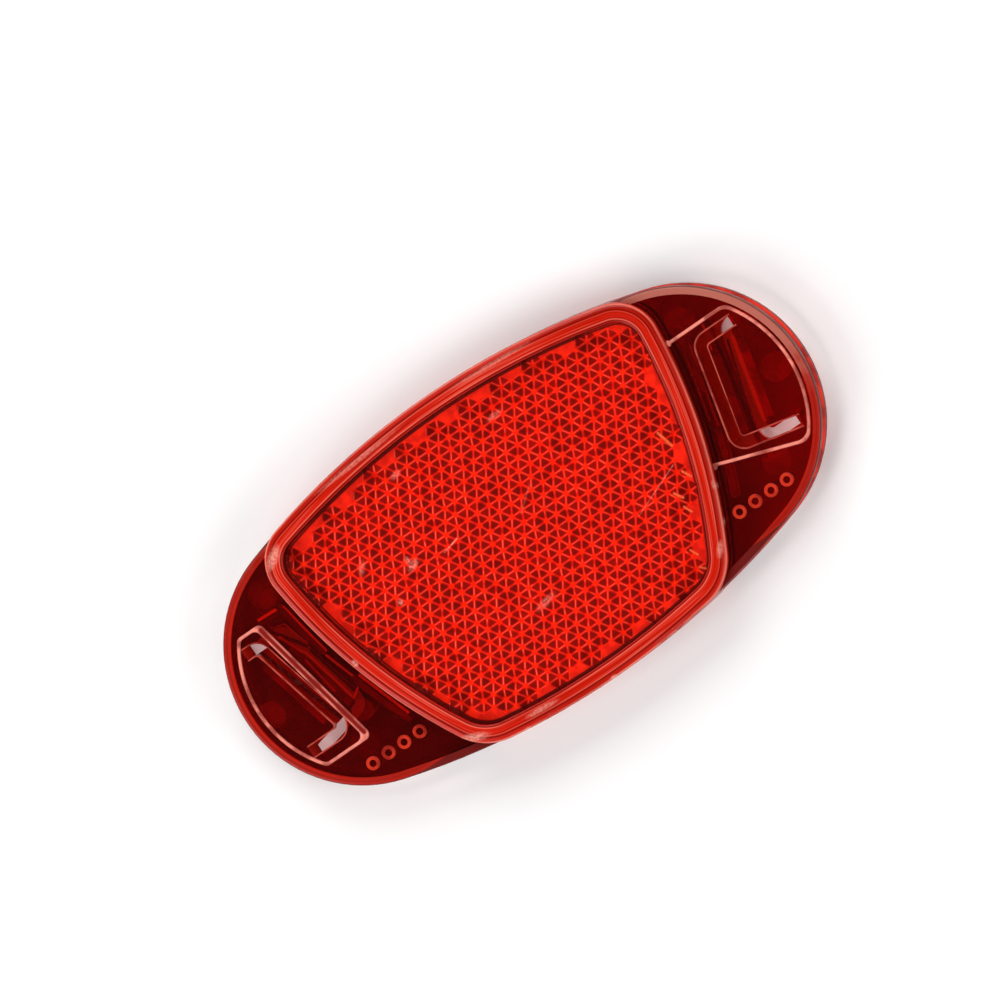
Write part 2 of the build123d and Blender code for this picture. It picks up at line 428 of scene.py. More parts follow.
@dataclass(frozen=True)
class WindowOutline:
    """The bezel's outline: two long arcs, two curved sides and four rounded corners."""

    half_width: float = 22.5
    end_radius: float = 18.5
    end_centre: float = 26.5
    side_half: float = 31.6
    side_radius: float = 77.0
    side_level: float = 20.0
    top_corner: float = 6.0
    bottom_corner: float = 8.0

    def long_radius(self) -> float:
        """Radius of the long arcs, which run smoothly into the oval's end arcs."""
        spread = self.end_centre**2 + self.half_width**2 - self.end_radius**2
        return spread / (2 * (self.half_width - self.end_radius))

    def corner_centre(self, side: int) -> tuple[float, float]:
        """Centre of a rounded corner of the right side.

        Args:
            side: 1 for the top corner and -1 for the bottom one.

        Returns:
            Its x and y.
        """
        radius = self.top_corner if side > 0 else self.bottom_corner
        long_radius = self.long_radius() - radius
        side_radius = self.side_radius - radius
        first = Vector((0.0, side * (self.half_width - self.long_radius())))
        second = Vector((self.side_half - self.side_radius, self.side_level))
        gap = second - first
        along = (long_radius**2 - side_radius**2 + gap.length_squared) / (2 * gap.length)
        across = math.sqrt(long_radius**2 - along**2)
        unit = gap.normalized()
        found = first + unit * along + Vector((unit.y, -unit.x)) * across
        if found.x < 0:
            found = first + unit * along - Vector((unit.y, -unit.x)) * across
        return found.x, found.y

    def inset(self, x: Operand, y: Operand) -> Operand:
        """How far a point lies inside the outline.

        Args:
            x: Position along the length.
            y: Position along the short axis.

        Returns:
            The distance, negative outside.
        """
        rise = self.long_radius() - self.half_width
        side = self.side_radius - self.side_half
        far_y = abs(y) + rise
        far_x = abs(x) + side
        along = y - self.side_level
        top = self.long_radius() - root(x * x + far_y * far_y)
        flank = self.side_radius - root(far_x * far_x + along * along)
        found = least(top, flank)
        for turn, radius in ((1, self.top_corner), (-1, self.bottom_corner)):
            centre_x, centre_y = self.corner_centre(turn)
            from_x = abs(x) - centre_x
            from_y = y - centre_y
            rounded = radius - root(from_x * from_x + from_y * from_y)
            past_top = (from_x * (centre_y + turn * rise) - from_y * centre_x) * turn > 0
            past_flank = (from_y * (centre_x + side) - from_x * (centre_y - self.side_level)) * turn > 0
            here = past_top * past_flank
            found = found + here * (rounded - found)
        return found


@dataclass(frozen=True)
class Oval:
    """The wings' outline, as far as it shows: two end arcs."""

    end_centre: float = 26.5
    end_radius: float = 18.5
    rim_width: float = 1.1

    def inset(self, x: Operand, y: Operand) -> Operand:
        """How far a point of a wing lies inside the oval's end."""
        from_x = abs(x) - self.end_centre
        return self.end_radius - root(from_x * from_x + y * y)


@dataclass(frozen=True)
class Levels:
    """Heights of the front shell's faces, insets from its bezel's outline, and tolerances."""

    joint: float = THICKNESS / 2
    wing_inner: float = 5.7
    wing_outer: float = 7.1
    window: float = 8.2
    bezel_width: float = 2.5
    chamber_wall: float = 1.3
    pin_clearance: float = 0.32
    flare: float = 0.22
    slack: float = 0.02
    near: float = 0.1


@dataclass(frozen=True)
class PinField:
    """The prisms behind a window: hexagonal pins whose tips are corners of a cube.

    Through the plastic, which bends the light, they look six tenths as deep as they are. They
    are made as they look.
    """

    pitch: float = 3.0
    shift_x: float = 1.299
    shift_y: float = 1.32
    tip_gap: float = 0.15
    base: float = 0.06
    shown_depth: float = 0.6
    sides: int = 6
    columns: int = 13
    rows: int = 8
    own_tone: float = 0.65
    first_pin_key: float = 5000.0
    merge_gap: float = 0.001
    outline: WindowOutline = WindowOutline()
    levels: Levels = Levels()

    def corner(self) -> float:
        """Distance from a pin's axis to its corners."""
        return self.pitch / math.sqrt(3)

    def rise(self) -> float:
        """Height of a third of the cube's diagonal."""
        return self.pitch / math.sqrt(6)

    def shown_rise(self) -> float:
        """The same height as it looks through the plastic."""
        return self.rise() * self.shown_depth

    def tree(self) -> tuple[bpy.types.GeometryNodeTree, dict[str, str]]:
        """Builds the Geometry Nodes tree of the field.

        Returns:
            The tree, and the identifier of each named input.
        """
        group = bpy.data.node_groups.new("pin_field", "GeometryNodeTree")
        kinds = {
            "Pitch": "Float",
            "Tip Level": "Float",
            "Top Level": "Float",
            "Edge Inset": "Float",
            "Seed": "Int",
            "Finish": "Material",
        }
        inputs = {}
        for name, kind in kinds.items():
            socket = group.interface.new_socket(name=name, in_out="INPUT", socket_type=f"NodeSocket{kind}")
            inputs[name] = socket.identifier
        group.interface.new_socket(name="Geometry", in_out="OUTPUT", socket_type="NodeSocketGeometry")
        tree = GeometryTree(group)
        given = {s.name: Signal(tree, s) for s in tree.node("NodeGroupInput", {}, {}).outputs if s.name}
        pins = self.points(tree, given["Pitch"], given["Edge Inset"])
        pins["Instance"] = self.pin(tree, given["Pitch"])
        mesh = tree.result("GeometryNodeInstanceOnPoints", {}, pins, "Instances")
        mesh = tree.shape("GeometryNodeRealizeInstances", {}, {"Geometry": mesh})
        mesh = self.toned(tree, mesh, given["Seed"])
        mesh = self.raised(tree, mesh, given["Tip Level"], given["Top Level"])
        mesh = tree.shape("GeometryNodeRealizeInstances", {}, {"Geometry": mesh})
        mesh = tree.shape("GeometryNodeSetMaterial", {}, {"Geometry": mesh, "Material": given["Finish"]})
        tree.node("NodeGroupOutput", {}, {"Geometry": mesh})
        return group, inputs

    def points(self, tree: GeometryTree, pitch: Signal, edge: Signal) -> dict[str, Any]:
        """Pin axes: a grid whose every second column is half a pitch higher.

        Args:
            tree: The tree.
            pitch: Distance between two pins, in metres.
            edge: How far inside the outline all of a pin lies, in millimetres.

        Returns:
            The points, and the selection of those whose whole pin fits in the window.
        """
        step = pitch * (math.sqrt(3) / 2)
        size = {
            "Size X": step * (2 * self.columns),
            "Size Y": pitch * (2 * self.rows),
            "Vertices X": 2 * self.columns + 1,
            "Vertices Y": 2 * self.rows + 1,
        }
        grid = tree.result("GeometryNodeMeshGrid", {}, size, "Mesh")
        x, y, _ = tree.here()
        column = (x * MM / step).whole()
        odd = abs(column - (column / 2.0).floor() * 2.0)
        moved = tree.point(x * MM + self.shift_x * MM, y * MM + odd * pitch * 0.5 + self.shift_y * MM, 0.0)
        grid = tree.moved(grid, moved)
        x, y, _ = tree.here()
        insets = []
        for turn in range(self.sides):
            angle = turn * 2 * math.pi / self.sides
            corner_x = x + self.corner() * math.cos(angle)
            corner_y = y + self.corner() * math.sin(angle)
            insets.append(self.outline.inset(corner_x, corner_y))
        return {"Points": grid, "Selection": reduce(Signal.least, insets) > edge}

    def pin(self, tree: GeometryTree, pitch: Signal) -> bpy.types.NodeSocket:
        """One pin's triangles, still flat, each corner holding its place in the pin.

        Args:
            tree: The tree.
            pitch: Distance between two pins, in metres.

        Returns:
            The mesh.
        """
        values = {"Vertices": self.sides, "Radius": pitch / math.sqrt(3)}
        disc = tree.result("GeometryNodeMeshCircle", {"fill_type": "TRIANGLE_FAN"}, values, "Mesh")
        here = tree.result("GeometryNodeInputPosition", {}, {}, "Position")
        return tree.stored(disc, "FLOAT_VECTOR", "CORNER", "pin_place", here)

    def toned(self, tree: GeometryTree, mesh: Any, seed: Signal) -> bpy.types.NodeSocket:
        """Gives every triangle a random tone, which it partly shares with the others of its pin.

        Args:
            tree: The tree.
            mesh: The flat pins.
            seed: Seed of the tones.

        Returns:
            The mesh.
        """
        index = tree.value("GeometryNodeInputIndex", {}, {}, "Index")
        own = tree.chance(seed, index)
        shared = tree.chance(seed, (index / self.sides + 0.01).floor() + self.first_pin_key)
        tone = own * self.own_tone + shared * (1.0 - self.own_tone)
        return tree.stored(mesh, "FLOAT", "FACE", "tone", tone)

    def raised(self, tree: GeometryTree, mesh: Any, tip: Signal, top: Signal) -> bpy.types.NodeSocket:
        """Raises the pins and merges them, with walls round their edge up to the window's inner face.

        The corners of a pin lie one and two rises above its tip, in turn.

        Args:
            tree: The tree.
            mesh: The flat pins.
            tip: Height of the tips, in metres.
            top: Height of the window's inner face, in metres.

        Returns:
            The mesh.
        """
        settings = {"data_type": "FLOAT_VECTOR"}
        kept = tree.result("GeometryNodeInputNamedAttribute", settings, {"Name": "pin_place"}, "Attribute")
        pin_x, pin_y, _ = tree.split(kept)
        radial = root(pin_x * pin_x + pin_y * pin_y) / self.corner()
        turns = tree.math("ARCTAN2", pin_y, pin_x) * (self.sides / 2)
        height = tip + radial * (1.5 - turns.cosine() * 0.5) * (self.shown_rise() * MM)
        x, y, _ = tree.here()
        mesh = tree.moved(mesh, tree.point(x * MM, y * MM, height))
        merging = {"Geometry": mesh, "Distance": self.merge_gap * MM}
        mesh = tree.shape("GeometryNodeMergeByDistance", {}, merging)
        faces = tree.value("GeometryNodeInputMeshEdgeNeighbors", {}, {}, "Face Count")
        edges = {"Mesh": mesh, "Selection": 2 - faces, "Offset Scale": 0.0}
        walls = tree.node("GeometryNodeExtrudeMesh", {"mode": "EDGES"}, edges)
        x, y, _ = tree.here()
        return tree.moved(walls.outputs["Mesh"], tree.point(x * MM, y * MM, top), walls.outputs["Top"])

    def build(self, name: str, seed: int, finish: bpy.types.Material) -> bpy.types.Object:
        """Makes the field behind the front window.

        Args:
            name: The piece's name.
            seed: Seed of the tones.
            finish: Its material.

        Returns:
            A plain mesh object.
        """
        source = placed(f"{name}_source", bpy.data.meshes.new(f"{name}_source"))
        group, inputs = self.tree()
        modifier = source.modifiers.new("pins", "NODES")
        modifier.node_group = group
        top = self.levels.joint + self.tip_gap + 2 * self.rise() + self.base
        sizes = {
            "Pitch": self.pitch * MM,
            "Tip Level": (top - self.base - 2 * self.shown_rise()) * MM,
            "Top Level": top * MM,
            "Edge Inset": self.levels.chamber_wall + self.levels.pin_clearance,
            "Seed": seed,
            "Finish": finish,
        }
        for label, value in sizes.items():
            modifier[inputs[label]] = value
        graph = bpy.context.evaluated_depsgraph_get()
        shaped = source.evaluated_get(graph)
        mesh = bpy.data.meshes.new_from_object(shaped, preserve_all_data_layers=True, depsgraph=graph)
        mesh.name = name
        source.modifiers.remove(modifier)
        bpy.data.objects.remove(source)
        return placed(name, mesh)


@dataclass(frozen=True)
class Stroke:
    """A straight line from one point to another: a scratch, or a line inside the plastic."""

    start: tuple[float, float]
    stop: tuple[float, float]
    width: float
    strength: float

    def mask(self, x: Signal, y: Signal) -> Signal:
        """How much of the line covers a point.

        Args:
            x: Position along the length.
            y: Position along the short axis.

        Returns:
            The cover, from 0 to the line's strength.
        """
        run_x = self.stop[0] - self.start[0]
        run_y = self.stop[1] - self.start[1]
        from_x = x - self.start[0]
        from_y = y - self.start[1]
        share = ((from_x * run_x + from_y * run_y) / (run_x**2 + run_y**2)).least(1.0).most(0.0)
        off_x = from_x - share * run_x
        off_y = from_y - share * run_y
        return root(off_x * off_x + off_y * off_y).ramp(self.width, self.width * 0.3) * self.strength


@dataclass(frozen=True)
class Scuff:
    """A rubbed patch, longer along one direction."""

    place: tuple[float, float]
    reach: tuple[float, float]
    angle: float
    strength: float

    def mask(self, x: Signal, y: Signal) -> Signal:
        """How much of the patch covers a point.

        Args:
            x: Position along the length.
            y: Position along the short axis.

        Returns:
            The cover, from 0 to the patch's strength.
        """
        turn = math.radians(self.angle)
        from_x = x - self.place[0]
        from_y = y - self.place[1]
        along = (from_x * math.cos(turn) + from_y * math.sin(turn)) / self.reach[0]
        across = (from_y * math.cos(turn) - from_x * math.sin(turn)) / self.reach[1]
        return root(along * along + across * across).ramp(1.0, 0.25) * self.strength


@dataclass(frozen=True)
class Wear:
    """Marks of one surface: its scratches and scuffs, or the lines that are seen in its plastic."""

    marks: tuple[Union[Stroke, Scuff], ...]
    grain_scale: float = 2.6

    def mask(self, tree: ShaderTree, x: Signal, y: Signal, broken: float) -> Signal:
        """How marked a point is.

        Args:
            tree: The material's tree.
            x: Position along the length.
            y: Position along the short axis.
            broken: How much a fine grain breaks the marks up, from 0 to 1.

        Returns:
            The strength of its strongest mark, from 0 to 1.
        """
        strongest = reduce(Signal.most, [mark.mask(x, y) for mark in self.marks])
        grain = tree.noise(tree.point(x, y, 0.0), self.grain_scale, detail=3.0).ramp(0.38, 0.62)
        return strongest * (1.0 - broken + grain * broken)


# Wear of the front, each mark where the photograph shows it
FRONT_WINDOW_WEAR = Wear(
    (
        Scuff((-14.0, 5.0), (1.3, 0.7), 20.0, 0.75),
        Scuff((-14.3, 5.9), (0.8, 0.5), 80.0, 0.6),
        Stroke((-9.5, 4.0), (-7.1, 4.6), 0.16, 0.8),
        Scuff((-18.3, 1.9), (0.6, 0.6), 0.0, 0.8),
        Scuff((-2.0, -9.0), (2.2, 0.7), 12.0, 0.45),
        Stroke((14.95, -6.6), (22.6, -3.6), 0.11, 0.5),
        Scuff((-20.0, 8.5), (1.4, 0.6), 50.0, 0.4),
        Scuff((6.5, 15.2), (1.6, 0.6), 5.0, 0.45),
        Scuff((-9.0, 16.2), (1.2, 0.6), 10.0, 0.5),
        Stroke((2.0, 2.5), (5.2, 5.1), 0.1, 0.35),
    )
)
FRONT_WINDOW_FLECKS = Wear(
    (
        Stroke((23.3, 1.0), (23.9, -1.4), 0.3, 0.8),
        Stroke((23.1, -5.0), (23.7, -6.2), 0.28, 0.8),
        Stroke((20.5, -6.8), (21.2, -7.9), 0.28, 0.75),
        Stroke((20.6, -9.0), (21.1, -10.1), 0.26, 0.75),
        Stroke((18.0, -14.2), (18.5, -15.2), 0.26, 0.7),
        Stroke((17.8, -16.8), (18.3, -17.3), 0.26, 0.7),
    )
)
FRONT_BEZEL_WEAR = Wear(
    (
        Scuff((-29.0, 16.3), (2.4, 0.9), 35.0, 0.85),
        Scuff((-30.0, 17.3), (0.7, 0.5), 40.0, 1.0),
        Scuff((-20.4, -18.4), (3.0, 0.8), -20.0, 0.8),
        Scuff((-10.5, -20.4), (3.2, 0.5), -5.0, 0.65),
        Scuff((21.5, -16.3), (1.6, 0.6), 50.0, 0.6),
        Scuff((24.0, -13.8), (0.9, 0.4), 75.0, 0.8),
        Scuff((25.7, -8.9), (0.9, 0.4), 75.0, 0.7),
        Scuff((-27.9, -1.4), (0.7, 0.5), 100.0, 0.8),
        Scuff((-12.0, 20.6), (9.0, 0.5), 4.0, 0.45),
        Scuff((10.0, 21.0), (8.0, 0.45), -4.0, 0.4),
        Scuff((0.0, -22.3), (0.7, 0.35), 0.0, 1.0),
        Scuff((-13.8, -21.6), (0.8, 0.4), 10.0, 1.0),
        Scuff((-23.6, -19.7), (0.9, 0.5), 0.0, 0.9),
    )
)
# Wear of the back, which the photograph doesn't show, so a guess of the same kind
BACK_WINDOW_WEAR = Wear(
    (
        Stroke((-16.0, -3.0), (-9.0, 2.0), 0.12, 0.45),
        Scuff((8.0, 6.0), (1.8, 0.6), 30.0, 0.45),
        Stroke((12.0, -9.0), (18.0, -12.0), 0.12, 0.4),
        Scuff((-5.0, 14.0), (1.5, 0.7), 0.0, 0.4),
    )
)
BACK_BEZEL_WEAR = Wear(
    (
        Scuff((27.5, 15.8), (2.2, 0.8), -35.0, 0.6),
        Scuff((-18.0, -18.8), (2.6, 0.7), -18.0, 0.6),
        Scuff((5.0, 21.2), (7.0, 0.5), 0.0, 0.4),
        Scuff((-25.0, -12.0), (1.4, 0.5), -75.0, 0.5),
    )
)
# Painted light: bright lines that the light draws inside the clear wings, painted on their inner faces
FRONT_LIGHT_LINES = Wear(
    (
        Stroke((-36.0, 10.65), (-32.4, 10.5), 0.34, 0.9),
        Stroke((-32.2, 10.2), (-30.8, 2.3), 0.32, 0.9),
        Stroke((-31.1, 1.7), (-29.6, -2.9), 0.28, 0.75),
        Stroke((-28.9, -3.0), (-26.3, -10.7), 0.34, 0.95),
        Stroke((-29.2, -3.7), (-31.2, -5.0), 0.24, 0.7),
        Stroke((-35.2, 8.8), (-33.4, 8.3), 0.2, 0.4),
        Stroke((-33.4, 8.3), (-32.3, 4.4), 0.2, 0.5),
        Stroke((-35.0, 7.2), (-33.5, 3.8), 0.3, 0.6),
        Stroke((-33.8, 2.7), (-32.9, -2.8), 0.24, 0.55),
        Stroke((-33.2, 3.6), (-31.3, -5.0), 0.36, 0.6),
        Stroke((36.1, 9.4), (35.2, 6.0), 0.26, 0.6),
        Stroke((33.1, 8.2), (30.0, -3.3), 0.3, 0.45),
        Stroke((32.4, 9.5), (29.6, -1.5), 0.26, 0.4),
        Stroke((38.5, 5.9), (35.7, -5.6), 0.5, 0.5),
    )
)
# Painted shade: dark lines inside the clear wings, painted on their inner faces
FRONT_SHADE_LINES = Wear(
    (
        Stroke((-35.5, 8.4), (-32.6, 4.3), 0.45, 0.85),
        Stroke((-32.4, 3.4), (-30.6, -4.3), 0.4, 0.85),
        Stroke((-37.3, 7.6), (-33.5, -6.3), 0.3, 0.6),
        Stroke((-35.6, 7.6), (-32.3, -7.8), 0.34, 0.7),
        Stroke((37.7, 5.9), (34.3, -4.6), 0.28, 0.8),
        Stroke((33.9, 8.6), (30.7, -3.4), 0.3, 0.5),
        Stroke((31.6, 8.6), (28.9, -1.8), 0.3, 0.6),
    )
)
# The back shell's painted shade line and painted light line
BACK_SHADE_LINES = Wear((Stroke((39.0, 7.3), (34.9, -6.1), 0.6, 0.85),))
BACK_LIGHT_LINES = Wear((Stroke((-33.1, 8.0), (-30.2, -4.0), 0.3, 0.6),))


@dataclass(frozen=True)
class ProfileLine:
    """A line that runs along an outline at one distance inside it."""

    inset: float
    reach: float
    strength: float

    def mask(self, inset: Signal) -> Signal:
        """How much of the line covers a point, from 0 to the line's strength."""
        return inset.band(self.inset, self.reach) * self.strength


@dataclass(frozen=True)
class WindowWallShade:
    """Painted shade of the window's wall: a dark line painted on whatever lies behind the window, along its
    wall.
    """

    dark: Colour = Colour(0.09, 0.0008, 0.0)
    start: float = 2.5
    width: float = 0.5
    softness: float = 0.12
    streak: ProfileLine = ProfileLine(inset=0.24, reach=0.13, strength=0.55)
    streak_from: float = 20.0
    streak_full: float = 26.0
    outline: WindowOutline = WindowOutline()

    def over(self, tree: ShaderTree, colour: Any, x: Signal, y: Signal) -> bpy.types.NodeSocket:
        """Paints the shade line on a colour, with a painted highlight streak in it along the window's two
        short sides.

        Args:
            tree: The material's tree.
            colour: The colour without it.
            x: Position along the length.
            y: Position along the short axis.

        Returns:
            The colour socket.
        """
        beyond = self.outline.inset(x, y) - self.start
        sides = abs(x).ramp(self.streak_from, self.streak_full)
        shade = beyond.ramp(self.width + self.softness, self.width - self.softness)
        return tree.blend(shade * (1.0 - self.streak.mask(beyond) * sides), colour, self.dark)


class Finish:
    """A finish of the shells, drawn for the front one and turned for the back one."""

    def material(self, name: str, turned: bool) -> bpy.types.Material:
        """Builds the material.

        Args:
            name: Its name.
            turned: True on the back shell.

        Returns:
            The material.
        """
        made = bpy.data.materials.new(name)
        tree = ShaderTree(made, turned)
        tree.finish(self.surface(tree))
        return made

    def surface(self, tree: ShaderTree) -> bpy.types.NodeSocket:
        """The finish's shader, which each finish builds in its own way."""
        raise NotImplementedError


@dataclass(frozen=True)
class Rays:
    """The lattice's painted highlight lines in one direction, in degrees, and how bright they are left and
    right.
    """

    angle: float
    left: float
    right: float


@dataclass(frozen=True)
class PrismFinish(Finish):
    """The lit prisms as painted reflection: a lattice of bright stars and rays painted as highlights, with
    dark triangles between the rays painted as the reflection of dark surroundings.

    Three sets of parallel lines half a pin pitch apart cross at the stars. The squares of a
    point's distances from the three lines through a star add up to half as much again as the
    square of its distance from the star.
    """

    dark: Colour = Colour(0.06, 0.0004, 0.0)
    deep: Colour = Colour(0.27, 0.003, 0.0005)
    soft: Colour = Colour(0.46, 0.005, 0.0005)
    field: Colour = Colour(0.66, 0.007, 0.0005)
    star: Colour = Colour(0.84, 0.018, 0.001)
    ray: Colour = Colour(0.88, 0.17, 0.11)
    line_step: float = 1.5
    line_reach: float = 0.12
    line_core: float = 0.01
    pit_start: float = 0.06
    pit_full: float = 0.25
    star_reach: float = 0.6
    star_core: float = 0.15
    left_end: float = -14.0
    right_end: float = 16.0
    sets: tuple[Rays, ...] = (Rays(0.0, 0.55, 0.45), Rays(60.0, 1.0, 0.3), Rays(120.0, 0.2, 0.6))

    def surface(self, tree: ShaderTree) -> bpy.types.NodeSocket:
        """Opaque painted lattice of highlights and dark reflection, under the painted shade line of the
        window's wall.

        Args:
            tree: The material's tree.

        Returns:
            The shader.
        """
        x, y, _ = tree.place()
        kept = tree.result("ShaderNodeAttribute", {"attribute_name": "pin_place"}, {}, "Vector")
        pin_x, pin_y, _ = tree.split(kept)
        tone = tree.value("ShaderNodeAttribute", {"attribute_name": "tone"}, {}, "Fac")
        drift = tree.noise(tree.point(x, y, 0.0), scale=0.7, detail=3.0)
        right = x.ramp(self.left_end, self.right_end)
        gaps = []
        lines = []
        for rays in self.sets:
            turn = math.radians(rays.angle)
            across = abs(pin_y * math.cos(turn) - pin_x * math.sin(turn))
            gap = self.line_step / 2 - abs(across - self.line_step / 2)
            gaps.append(gap)
            light = rays.left + right * (rays.right - rays.left)
            lines.append(gap.ramp(self.line_reach, self.line_core) * light)
        star_gap = root(reduce(Signal.__add__, [gap * gap for gap in gaps]) / 1.5)
        # Painted reflection: dark triangles between the lines, their depth varying at random
        pit = reduce(Signal.least, gaps).ramp(self.pit_start, self.pit_full) * (0.82 + tone * 0.18)
        depth = (tone * 0.8 + drift * 0.7 - 0.35).ramp(0.0, 1.0)
        bright = tree.blend((tone * 0.6 + drift * 0.8 - 0.2).ramp(0.0, 0.8), self.soft, self.field)
        colour = tree.blend(pit, bright, tree.blend(depth, self.dark, self.deep))
        # Painted highlights: a bright star where the lines cross, then pale rays along the lines
        colour = tree.blend(star_gap.ramp(self.star_reach, self.star_core), colour, self.star)
        ray_light = reduce(Signal.most, lines) * star_gap.ramp(0.26, 0.5)
        ray_light = ray_light * drift.ramp(0.36, 0.58) * (0.35 + tone * 0.65)
        colour = tree.blend(ray_light, colour, self.ray)
        return tree.solid(WindowWallShade().over(tree, colour, x, y), roughness=0.5, gloss=0.1)


@dataclass(frozen=True)
class MarginFinish(Finish):
    """The flat plastic round the prisms."""

    bright: Colour = Colour(0.82, 0.016, 0.002)
    soft: Colour = Colour(0.55, 0.007, 0.001)

    def surface(self, tree: ShaderTree) -> bpy.types.NodeSocket:
        """Opaque red, under the painted shade line of the window's wall.

        Args:
            tree: The material's tree.

        Returns:
            The shader.
        """
        x, y, _ = tree.place()
        drift = tree.noise(tree.point(x, y, 0.0), scale=0.5, detail=2.0)
        colour = tree.blend(drift.ramp(0.35, 0.65), self.soft, self.bright)
        return tree.solid(WindowWallShade().over(tree, colour, x, y), roughness=0.4, gloss=0.1)


@dataclass(frozen=True)
class WindowFinish(Finish):
    """The window's clear outer face, with its scratches and flecks."""

    tint: Colour = Colour(0.97, 0.74, 0.6)
    scratch: Colour = Colour(0.85, 0.22, 0.16)
    fleck: Colour = Colour(0.9, 0.11, 0.03)

    def surface(self, tree: ShaderTree) -> bpy.types.NodeSocket:
        """Clear plastic, opaque where it is scratched or flecked.

        Args:
            tree: The material's tree.

        Returns:
            The shader.
        """
        x, y, _ = tree.place()
        worn = (BACK_WINDOW_WEAR if tree.turned else FRONT_WINDOW_WEAR).mask(tree, x, y, broken=0.7)
        smudge = tree.noise(tree.point(x, y, 0.0), scale=0.25, detail=3.0)
        clear = tree.clear(self.tint, smudge.ramp(0.4, 0.8) * 0.05 + 0.02)
        surface = tree.shader_mix(worn, clear, tree.solid(self.scratch, roughness=0.55, gloss=0.2))
        if tree.turned:
            return surface
        flecks = FRONT_WINDOW_FLECKS.mask(tree, x, y, broken=0.2)
        return tree.shader_mix(flecks, surface, tree.solid(self.fleck, roughness=0.45, gloss=0.2))


@dataclass(frozen=True)
class BezelFinish(Finish):
    """The raised bezel: glossy red with lengthwise streaks and rubbed places, painted highlights on its
    edges and painted shade on its walls.

    Its lines lie at insets from the bezel's outline, from the outer edge to the window's wall.
    """

    red: Colour = Colour(0.42, 0.007, 0.001)
    bright: Colour = Colour(0.58, 0.01, 0.0015)
    shade: Colour = Colour(0.14, 0.0016, 0.0003)
    # Colour of the painted highlights on the edges, and of the fine pale threads
    pale: Colour = Colour(0.82, 0.17, 0.11)
    rubbed: Colour = Colour(0.78, 0.3, 0.23)
    ridge: ProfileLine = ProfileLine(inset=0.45, reach=0.25, strength=0.8)
    groove: ProfileLine = ProfileLine(inset=0.85, reach=0.2, strength=0.85)
    wall: ProfileLine = ProfileLine(inset=2.3, reach=0.2, strength=0.9)
    threads: ProfileLine = ProfileLine(inset=1.6, reach=0.75, strength=0.5)
    outer_edge: ProfileLine = ProfileLine(inset=0.16, reach=0.2, strength=0.95)
    step: ProfileLine = ProfileLine(inset=1.06, reach=0.12, strength=0.55)
    inner_edge: ProfileLine = ProfileLine(inset=2.08, reach=0.14, strength=0.7)
    top: float = 8.85
    outline: WindowOutline = WindowOutline()

    def surface(self, tree: ShaderTree) -> bpy.types.NodeSocket:
        """Opaque red plastic with a fine relief.

        Args:
            tree: The material's tree.

        Returns:
            The shader.
        """
        x, y, z = tree.place()
        below = self.top - z
        inset = self.outline.inset(x, y)
        streak = tree.noise(tree.point(x * 0.07, y * 0.07, inset * 1.7), scale=1.0, detail=3.0)
        thread = tree.noise(tree.point(x * 0.05, y * 0.05, inset * 4.5 + 7.0), scale=1.0, detail=2.0)
        patchy = streak.ramp(0.35, 0.6)
        colour = tree.blend(inset.ramp(0.75, 1.15) * (0.55 + patchy * 0.45), self.red, self.bright)
        colour = tree.blend(self.ridge.mask(inset) * streak.ramp(0.45, 0.6), colour, self.bright)
        # Dark lines: painted shade along the window's wall, a darker groove line, and dark threads
        dark = self.groove.mask(inset).most(self.wall.mask(inset))
        colour = tree.blend(dark.most(thread.ramp(0.46, 0.36) * 0.5), colour, self.shade)
        # Painted highlights along the outer edge, the step and the inner edge, on the top only
        highlight_lines = (self.outer_edge, self.step, self.inner_edge)
        edges = reduce(Signal.most, [line.mask(inset) for line in highlight_lines])
        edges = edges * (0.35 + patchy * 0.65) * below.ramp(0.65, 0.15)
        fine = thread.ramp(0.56, 0.66) * self.threads.mask(inset)
        colour = tree.blend(fine.most(edges), colour, self.pale)
        # Painted shade on the sunk inner wall down to the window and on the outer flank
        sunk = below.ramp(0.12, 0.4) * inset.ramp(1.6, 2.0)
        colour = tree.blend(sunk * 0.9, colour, self.shade)
        flank = below.ramp(0.55, 1.45) * inset.ramp(1.0, 0.4)
        colour = tree.blend(flank * 0.4, colour, self.shade)
        worn = (BACK_BEZEL_WEAR if tree.turned else FRONT_BEZEL_WEAR).mask(tree, x, y, broken=0.6)
        colour = tree.blend(worn, colour, self.rubbed)
        roughness = 0.24 + streak.ramp(0.4, 0.7) * 0.1 + worn * 0.3
        return tree.solid(colour, roughness, gloss=0.22, normal=tree.bump(streak, distance=0.02))


